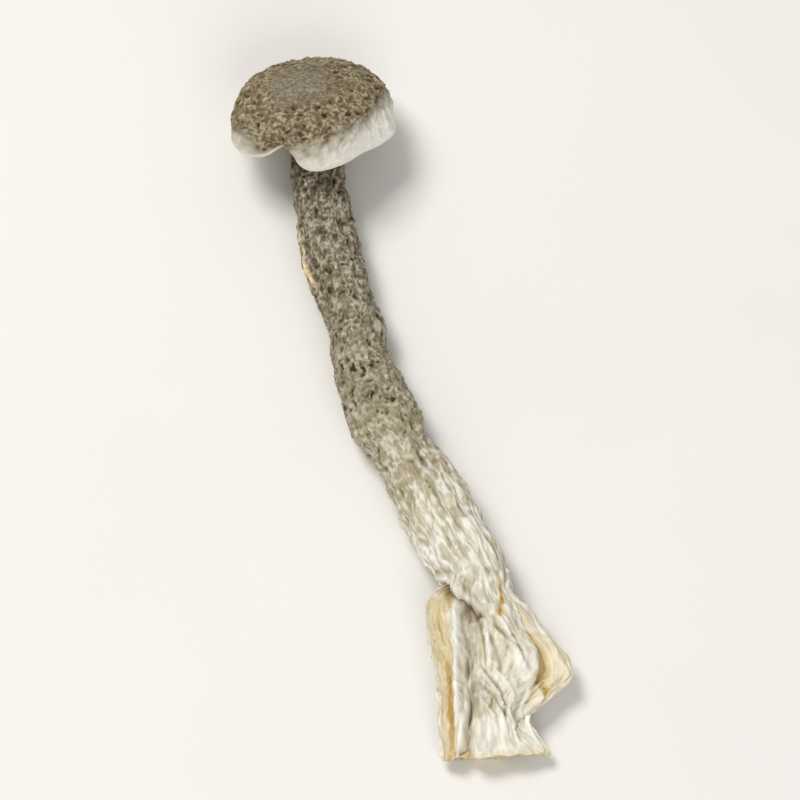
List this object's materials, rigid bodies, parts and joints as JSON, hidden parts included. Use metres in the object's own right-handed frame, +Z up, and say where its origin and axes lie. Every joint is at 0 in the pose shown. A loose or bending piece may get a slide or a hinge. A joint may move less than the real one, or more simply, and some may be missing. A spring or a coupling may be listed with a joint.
{
  "type": "dried deer antler mushroom",
  "caption": "Dried whole mushroom lying on its side: a domed, wrinkled cap with gills on a long bent stem that ends in a flared, folded and cut base.",
  "frame": {"origin": "under the middle of the mushroom's length and width, on the surface that it lies on", "axes": "+Y from the cut end towards the cap, +Z up, away from the surface that it lies on; the base is on the +X side and the cap on the -X side"},
  "size_m": [0.0516, 0.1157, 0.019],
  "materials": {
    "dried_skin": "matte"
  },
  "bodies": {
    "root": {"mushroom": "dried_skin"}
  },
  "joints": []
}
